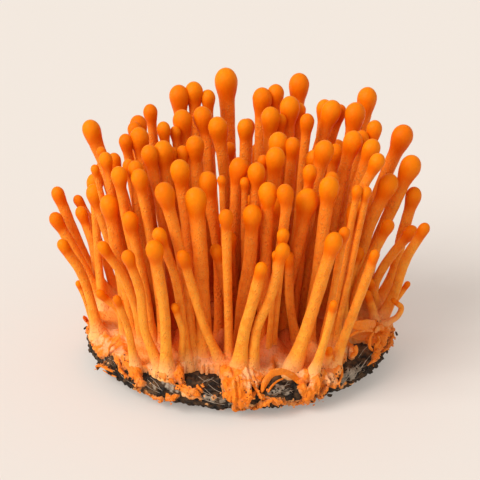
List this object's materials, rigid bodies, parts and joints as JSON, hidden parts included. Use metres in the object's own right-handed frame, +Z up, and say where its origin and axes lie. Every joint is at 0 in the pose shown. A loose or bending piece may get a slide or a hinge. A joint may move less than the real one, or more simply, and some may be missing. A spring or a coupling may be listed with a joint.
{
  "type": "cordyceps bunch",
  "caption": "Upright bunch of orange club-headed cordyceps stalks on an orange mycelium mat and a flat-bottomed cake of dark substrate.",
  "frame": {"origin": "centre of the flat cut underside of the substrate cake, on the surface that the bunch stands on", "axes": "+Z up, along the stalks; +Y away from the side that the picture shows; +X to the right of that side"},
  "size_m": [0.1038, 0.0836, 0.0708],
  "materials": {
    "stalk": "matte saturated orange fungus flesh, finely granular, paler towards the foot",
    "mat": "matte orange to cream felted mycelium with folds and lumps",
    "substrate": "rough dark brown grain and bark crumbs with grey-white mycelium threads"
  },
  "bodies": {
    "root": {"mycelium_mat": "mat", "stalk_01": "stalk", "stalk_02": "stalk", "stalk_03": "stalk", "stalk_04": "stalk", "stalk_05": "stalk", "stalk_06": "stalk", "stalk_07": "stalk", "stalk_08": "stalk", "stalk_09": "stalk", "stalk_10": "stalk", "stalk_11": "stalk", "stalk_12": "stalk", "stalk_13": "stalk", "stalk_14": "stalk", "stalk_15": "stalk", "stalk_16": "stalk", "stalk_17": "stalk", "stalk_18": "stalk", "stalk_19": "stalk", "stalk_20": "stalk", "stalk_21": "stalk", "stalk_22": "stalk", "stalk_23": "stalk", "substrate": "substrate", "tuft_01": "stalk", "tuft_02": "stalk", "tuft_03": "stalk", "tuft_04": "stalk", "tuft_05": "stalk", "tuft_06": "stalk", "tuft_07": "stalk", "tuft_08": "stalk", "tuft_09": "stalk", "tuft_10": "stalk", "tuft_11": "stalk", "tuft_12": "stalk", "tuft_13": "stalk", "tuft_14": "stalk", "tuft_15": "stalk", "tuft_16": "stalk", "tuft_17": "stalk", "tuft_18": "stalk", "tuft_19": "stalk", "tuft_20": "stalk", "tuft_21": "stalk", "tuft_22": "stalk", "tuft_23": "stalk", "tuft_24": "stalk", "tuft_25": "stalk", "tuft_26": "stalk", "tuft_27": "stalk", "tuft_28": "stalk", "tuft_29": "stalk", "tuft_30": "stalk", "tuft_31": "stalk", "tuft_32": "stalk", "tuft_33": "stalk", "tuft_34": "stalk"}
  },
  "joints": []
}
